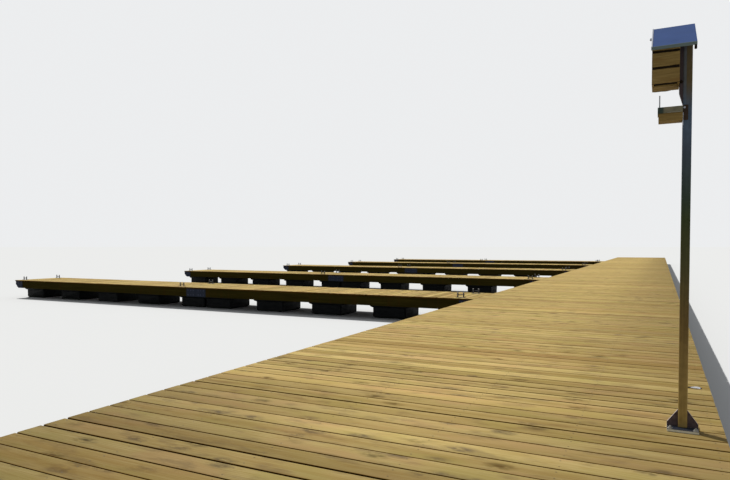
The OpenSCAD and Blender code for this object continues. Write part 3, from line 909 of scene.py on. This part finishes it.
def base_metal_painted_light():
    """Post base with its light painted in: pale plate rim as painted reflection, dark plate top as
    painted shadow, purple-brown gussets as painted shade, bright sloping edges as painted highlight.
    """
    s = Shader("base_metal_painted_light", roughness=0.55, specular=0.12)
    lo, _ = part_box("post_base")
    where = s.coordinates()
    z = s.parts(where)[2]
    up = s.parts(s.normal())[2]
    mottle = s.noise(where, scale=110.0, detail=4, roughness=0.6)
    # The gussets' dark purple-brown is painted shade on the steel
    gusset = s.ramp(mottle, (0.3, (0.072, 0.050, 0.056)), (0.7, (0.132, 0.098, 0.100)))
    rim = s.ramp(mottle, (0.3, (0.66, 0.67, 0.60)), (0.7, (0.84, 0.85, 0.78)))
    top = s.ramp(mottle, (0.3, (0.010, 0.013, 0.022)), (0.7, (0.024, 0.029, 0.040)))
    # The plate's pale rim is painted reflection and its dark top painted shadow, told apart by which way
    # each face looks
    plate = s.mix(s.span(up, 0.25, 0.75), rim, top)
    plate_top = lo.z + BASE_T
    base = s.mix(s.span(z, plate_top, plate_top + 0.0006), plate, gusset)
    # Painted highlight along the gussets' sloping edges
    sloping = s.math("MULTIPLY", s.span(up, 0.30, 0.50), s.span(up, 0.90, 0.75))
    edge = s.math("MULTIPLY", sloping, s.span(z, plate_top + 0.001, plate_top + 0.003))
    s.colour(s.mix(edge, base, (0.55, 0.48, 0.50)))
    s.rough(s.span(mottle, 0.3, 0.7, 0.45, 0.65))
    s.bump(mottle, 0.0003)
    return s.material


def roof_paint():
    """Coated sheet of the roof, blue-grey with its blue partly painted reflection of the sky, and a
    greenish turned-down front edge.
    """
    s = Shader("roof_paint", specular=0.06)
    lo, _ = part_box("sheet_roof")
    where = s.coordinates()
    y = s.parts(where)[1]
    broad = s.noise(where, scale=16.0, detail=3)
    speckle = s.noise(where, scale=240.0, detail=3, roughness=0.6)
    # Partly painted reflection: the blue cast stands for the sky on the sheet
    base = s.ramp(broad, (0.3, (0.047, 0.087, 0.228)), (0.7, (0.065, 0.112, 0.282)))
    base = s.mix(s.span(speckle, 0.58, 0.75, 0.0, 0.35), base, (0.105, 0.150, 0.290))
    front = s.span(y, lo.y + 0.0040, lo.y + 0.0010)
    s.colour(s.mix(front, base, (0.120, 0.155, 0.150)))
    s.rough(s.span(broad, 0.3, 0.7, 0.72, 0.88))
    s.bump(s.math("ADD", broad, s.math("MULTIPLY", speckle, 0.1)), 0.0006)
    return s.material


def lid_paint():
    """Lid of the lower box: olive-grey sheet with painted shadow at its left corner, and a pale rod."""
    s = Shader("lid_paint", roughness=0.6, specular=0.12)
    lo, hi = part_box("lower_box_lid")
    where = s.coordinates()
    x, _, z = s.parts(where)
    mottle = s.noise(where, scale=70.0, detail=4)
    base = s.ramp(mottle, (0.3, (0.128, 0.120, 0.080)), (0.7, (0.202, 0.184, 0.124)))
    # Painted shadow over the lid's left corner
    base = s.mix(s.span(x, lo.x + 0.018, lo.x + 0.011), base, (0.030, 0.045, 0.036))
    base = s.mix(s.span(z, hi.z - ROD_H + 0.001, hi.z - ROD_H + 0.003), base, (0.30, 0.32, 0.35))
    s.colour(base)
    s.bump(mottle, 0.0003)
    return s.material


def pin_metal():
    """Bright pin with dark root and tip."""
    s = Shader("pin_metal", metallic=0.85, roughness=0.25)
    along = s.attribute("along", "Fac")
    mottle = s.noise(s.coordinates(), scale=120.0, detail=3)
    shiny = s.ramp(mottle, (0.3, (0.52, 0.52, 0.55)), (0.7, (0.72, 0.72, 0.74)))
    dull = s.math("MAXIMUM", s.span(along, 0.30, 0.10), s.span(along, 0.84, 0.94))
    s.colour(s.mix(dull, shiny, (0.035, 0.034, 0.036)))
    return s.material


def plain_metal(name, colour, roughness, metallic=0.8, specular=0.4):
    """Bare or painted metal with a slight mottle."""
    s = Shader(name, metallic=metallic, roughness=roughness, specular=specular)
    mottle = s.noise(s.coordinates(), scale=90.0, detail=4)
    s.colour(s.ramp(mottle, (0.3, tuple(0.8 * c for c in colour)), (0.7, colour)))
    s.rough(s.span(mottle, 0.3, 0.7, roughness - 0.06, roughness + 0.1))
    s.bump(mottle, 0.0002)
    return s.material


def rubber():
    """Black rubber with a little dust."""
    s = Shader("buffer_rubber", roughness=0.8, specular=0.3)
    dust = s.noise(s.coordinates(), scale=140.0, detail=4)
    s.colour(s.ramp(dust, (0.35, (0.012, 0.012, 0.013)), (0.75, (0.035, 0.034, 0.033))))
    s.bump(dust, 0.0004)
    return s.material


# CAD nodes that show as they are

def dress(node, material, bevel=0.0, segments=2):
    """Gives a CAD node its finish and, where asked, softly rounded edges."""
    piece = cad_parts[node]
    piece.data.materials.clear()
    piece.data.materials.append(material)
    if bevel:
        weld = piece.modifiers.new("weld", "WELD")
        weld.merge_threshold = 0.00002
        soft = piece.modifiers.new("bevel", "BEVEL")
        soft.width = bevel
        soft.segments = segments
        soft.limit_method = "ANGLE"
        soft.angle_limit = math.radians(25)


# Stage

# Lens in millimetres, shift as a share of the picture's width, place in metres, roll in radians
SENSOR_W = 36.0
LENS = 29.189
SHIFT_UP = 0.0306
CAMERA_AT = (4.0662, -12.4645, 0.7565)
CAMERA_TURN_DEGREES = 26.534
CAMERA_DIP_DEGREES = 1.681
CAMERA_ROLL = -0.0005
FAR_CLIP = 500.0


def camera():
    """The camera, solved from the deck edges, the joints between the modules and the plumb post."""
    lens = bpy.data.cameras.new("camera")
    lens.sensor_width = SENSOR_W
    lens.lens = LENS
    lens.shift_y = SHIFT_UP
    lens.clip_end = FAR_CLIP
    view = bpy.data.objects.new("camera", lens)
    turn = Matrix.Rotation(math.radians(CAMERA_TURN_DEGREES), 4, "Z")
    tilt = Matrix.Rotation(math.radians(90 - CAMERA_DIP_DEGREES), 4, "X")
    roll = Matrix.Rotation(CAMERA_ROLL, 4, "Z")
    view.matrix_world = Matrix.Translation(CAMERA_AT) @ turn @ tilt @ roll
    bpy.context.scene.collection.objects.link(view)
    bpy.context.scene.camera = view


PALE = (0.84, 0.85, 0.86)
FLOOR_REACH = 220.0


def floor():
    """A plain pale floor at the waterline."""
    mesh = bpy.data.meshes.new("floor")
    corners = [(x * FLOOR_REACH, y * FLOOR_REACH, 0) for x, y in ((-1, -1), (1, -1), (1, 1), (-1, 1))]
    mesh.from_pydata(corners, [], [(0, 1, 2, 3)])
    paint = Shader("floor_paint", roughness=1.0, specular=0.0)
    paint.colour((*PALE, 1))
    mesh.materials.append(paint.material)
    ground = bpy.data.objects.new("floor", mesh)
    bpy.context.scene.collection.objects.link(ground)


SKY_COLOUR, SKY_STRENGTH = (0.95, 0.98, 1.0), 0.28
SUN_COLOUR, SUN_STRENGTH = (1.0, 0.98, 0.94), 3.0
SUN_WIDTH = math.radians(1.0)
SUN_HEIGHT = math.radians(50)
# Level direction of the shadows, in X and Y
SHADOWS_FALL = (0.87, -0.49)


def light():
    """Soft sky light, a sun from high on the left, and a pale backdrop that eye and gloss see."""
    world = bpy.data.worlds.new("world")
    bpy.context.scene.world = world
    world.use_nodes = True
    tree = world.node_tree
    tree.nodes.clear()
    sky, backdrop = (tree.nodes.new("ShaderNodeBackground") for _ in range(2))
    sky.inputs[0].default_value = (*SKY_COLOUR, 1)
    sky.inputs[1].default_value = SKY_STRENGTH
    backdrop.inputs[0].default_value = (*PALE, 1)
    rays = tree.nodes.new("ShaderNodeLightPath")
    seen = tree.nodes.new("ShaderNodeMath")
    seen.operation = "MAXIMUM"
    tree.links.new(rays.outputs["Is Camera Ray"], seen.inputs[0])
    tree.links.new(rays.outputs["Is Glossy Ray"], seen.inputs[1])
    either = tree.nodes.new("ShaderNodeMixShader")
    out = tree.nodes.new("ShaderNodeOutputWorld")
    tree.links.new(seen.outputs[0], either.inputs[0])
    tree.links.new(sky.outputs[0], either.inputs[1])
    tree.links.new(backdrop.outputs[0], either.inputs[2])
    tree.links.new(either.outputs[0], out.inputs[0])
    lamp = bpy.data.lights.new("lamp", "SUN")
    lamp.energy = SUN_STRENGTH
    lamp.color = SUN_COLOUR
    lamp.angle = SUN_WIDTH
    sun = bpy.data.objects.new("lamp", lamp)
    level = math.cos(SUN_HEIGHT)
    away = Vector((SHADOWS_FALL[0] * level, SHADOWS_FALL[1] * level, -math.sin(SUN_HEIGHT)))
    sun.rotation_euler = away.to_track_quat("-Z", "Y").to_euler()
    bpy.context.scene.collection.objects.link(sun)


def dress_nodes():
    """Finishes of all the CAD nodes that show as they are, but for the lower box."""
    timber_x = frame_wood("frame_wood_x", "X")
    timber_y = frame_wood("frame_wood_y", "Y")
    lengthwise = ["walkway_edge_beams", "walkway_joists", "finger_end_beams", "finger_bearers"]
    crosswise = ["walkway_end_beams", "walkway_bearers", "finger_edge_beams", "finger_joists"]
    for node in lengthwise:
        dress(node, timber_y, 0.0015, 1)
    for node in crosswise:
        dress(node, timber_x, 0.0015, 1)
    plastic = float_plastic()
    for node in ("walkway_floats", "finger_floats"):
        dress(node, plastic, 0.006, 2)
    plate = galvanised("plate_metal", (0.011, 0.015, 0.028), 0.6)
    for node in ("walkway_corner_plates", "finger_corner_plates", "finger_root_brackets"):
        dress(node, plate, 0.0005, 1)
    dress("post_base", base_metal_painted_light(), 0.0006, 1)
    buffer_rubber = rubber()
    for node in ("walkway_buffers", "finger_buffers"):
        dress(node, buffer_rubber)
    bitt = dark_steel("bitt_metal", (0.040, 0.042, 0.047), (0.66, 0.66, 0.64), DECK_TOP + BITT_HIGHLIGHT_RISE)
    dress("mooring_bitts", bitt, 0.0008, 2)
    dress("post", post_paint(), 0.0022, 3)
    mount = plain_metal("mount_metal", (0.050, 0.036, 0.038), 0.6, 0.0, 0.1)
    dress("box_mounting_plate", mount, 0.0006, 1)
    dress("sheet_roof", roof_paint(), 0.0005, 1)
    dress("lower_box_lid", lid_paint(), 0.0005, 1)


def main():
    """Builds the stage, the looks of the solids, and the boards and fixings over them."""
    bpy.context.scene.view_settings.view_transform = "Standard"
    camera()
    floor()
    light()
    dress_nodes()
    deck_boards(deck_wood())
    deck_screws(plain_metal("screw_metal", (0.200, 0.145, 0.070), 0.6, 0.0, 0.1))
    zinc = galvanised("screw_zinc", (0.036, 0.040, 0.066))
    plate_screws(zinc)
    tip_bolts(zinc)
    bitt_screws(plain_metal("bitt_screw_metal", (0.12, 0.12, 0.125), 0.45))
    # Bright metal for bolts, and painted highlight on the roof's rim and the post's edge
    bright_and_highlight = plain_metal("bright_metal_and_highlight", (0.40, 0.43, 0.50), 0.5, 0.2)
    # Dark metal for the bolt and pin, and painted shade for the box's inside
    dark = plain_metal("dark_metal_and_painted_shade", (0.014, 0.009, 0.005), 0.8, 0.0, 0.03)
    base_bolts(plain_metal("base_bolt_metal", (0.34, 0.33, 0.30), 0.5, 0.2))
    side_pin(pin_metal())
    box_boards(box_wood("box_wood", True))
    box_shade_core(dark)
    dress("lower_box", box_wood("lower_wood", False), 0.0012, 2)
    roof_trim(bright_and_highlight, dark)
    hem = plain_metal("hem_metal", (0.21, 0.20, 0.15), 0.6, 0.1)
    strap = plain_metal("strap_metal", (0.044, 0.028, 0.019), 0.6, 0.0, 0.1)
    head_fittings(bright_and_highlight, hem, strap, dark)


main()
